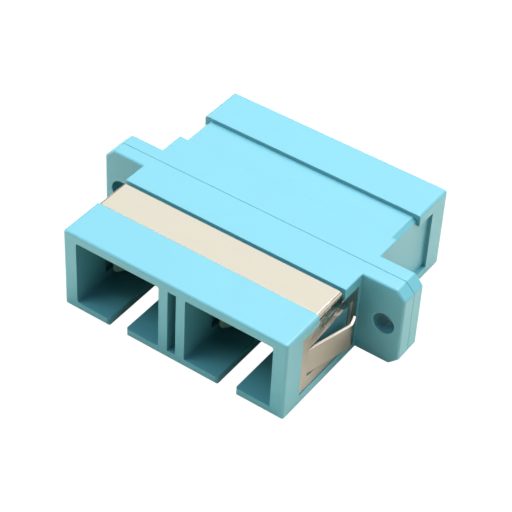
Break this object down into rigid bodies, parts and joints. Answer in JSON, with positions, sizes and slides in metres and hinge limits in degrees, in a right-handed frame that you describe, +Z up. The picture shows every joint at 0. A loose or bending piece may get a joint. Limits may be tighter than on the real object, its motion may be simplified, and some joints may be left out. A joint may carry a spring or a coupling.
{
  "type": "sc duplex fibre adapter",
  "caption": "Panel-mount coupler that joins two pairs of square fibre plugs end to end, with a screw flange and a spring clip over one half.",
  "frame": {"origin": "centre of the underside, on the weld seam between the two halves", "axes": "+X across the two channels and along the flange, +Y out of the rear ports, -Y out of the front ports on the clip's side, +Z up"},
  "size_m": [0.0348, 0.0274, 0.0093],
  "materials": {
    "aqua_plastic": "satin moulded aqua plastic",
    "ivory_plastic": "satin ivory plastic",
    "ceramic": "polished white zirconia ceramic",
    "spring_steel": "satin stainless spring sheet"
  },
  "bodies": {
    "root": {"front_housing": "aqua_plastic", "rear_housing": "aqua_plastic", "spring_clip": "spring_steel", "latch_insert_front_left": "ivory_plastic", "latch_insert_front_right": "ivory_plastic", "latch_insert_rear_left": "ivory_plastic", "latch_insert_rear_right": "ivory_plastic", "split_sleeve_left": "ceramic", "split_sleeve_right": "ceramic"}
  },
  "joints": []
}
